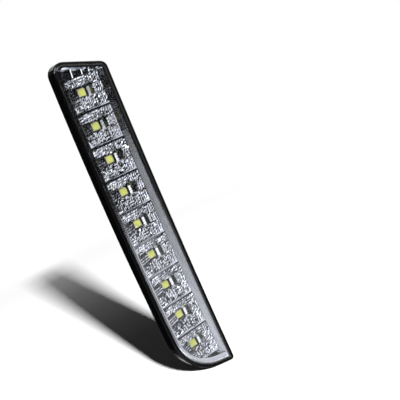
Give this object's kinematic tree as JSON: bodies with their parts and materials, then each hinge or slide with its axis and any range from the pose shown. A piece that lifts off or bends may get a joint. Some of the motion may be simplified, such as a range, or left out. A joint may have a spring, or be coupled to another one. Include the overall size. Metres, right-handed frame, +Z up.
{
  "type": "daytime running light",
  "caption": "Slim bowed daytime running light: one row of white LEDs in metallised optic cells behind a clear lens, in a black housing with two rear threaded fixings.",
  "frame": {"origin": "centre of the rear fixing pattern, halfway between the two threaded inserts, on the plane of their rear faces", "axes": "+Z up along the lamp's length with the slanted, higher-left end at the top; lens faces -Y; +X to the right seen from in front; +Y out of the rear fixings"},
  "size_m": [0.0373, 0.0259, 0.2193],
  "materials": {
    "black_plastic": "moulded black, polished rim and skirt",
    "clear_plastic": "clear moulded polycarbonate, polished",
    "black_silicone": "cured black sealing bead",
    "bright_metallising": "vacuum metallised, mirror bright",
    "board": "black solder mask on glass fibre board",
    "led_body": "white moulded LED package",
    "phosphor": "yellow phosphor in clear silicone",
    "chip_black": "black moulded or glazed chip",
    "ceramic_chip": "brown fired ceramic",
    "white_plastic": "white moulded terminal block",
    "zinc_steel": "bright zinc plated steel",
    "black_rubber": "soft black rubber",
    "brass": "turned brass"
  },
  "bodies": {
    "root": {"housing": "black_plastic", "lens": "clear_plastic", "lens_seal": "black_silicone", "reflector": "bright_metallising", "circuit_board": "board", "led_1": "led_body", "led_2": "led_body", "led_3": "led_body", "led_4": "led_body", "led_5": "led_body", "led_6": "led_body", "led_7": "led_body", "led_8": "led_body", "led_9": "led_body", "phosphor_1": "phosphor", "phosphor_2": "phosphor", "phosphor_3": "phosphor", "phosphor_4": "phosphor", "phosphor_5": "phosphor", "phosphor_6": "phosphor", "phosphor_7": "phosphor", "phosphor_8": "phosphor", "phosphor_9": "phosphor", "resistor_1": "chip_black", "resistor_2": "chip_black", "resistor_3": "chip_black", "polarity_diode": "chip_black", "smoothing_capacitor": "ceramic_chip", "wire_terminal": "white_plastic", "board_screws": "zinc_steel", "cable_grommet": "black_rubber", "breather_cap": "black_rubber", "mounting_inserts": "brass"}
  },
  "joints": []
}
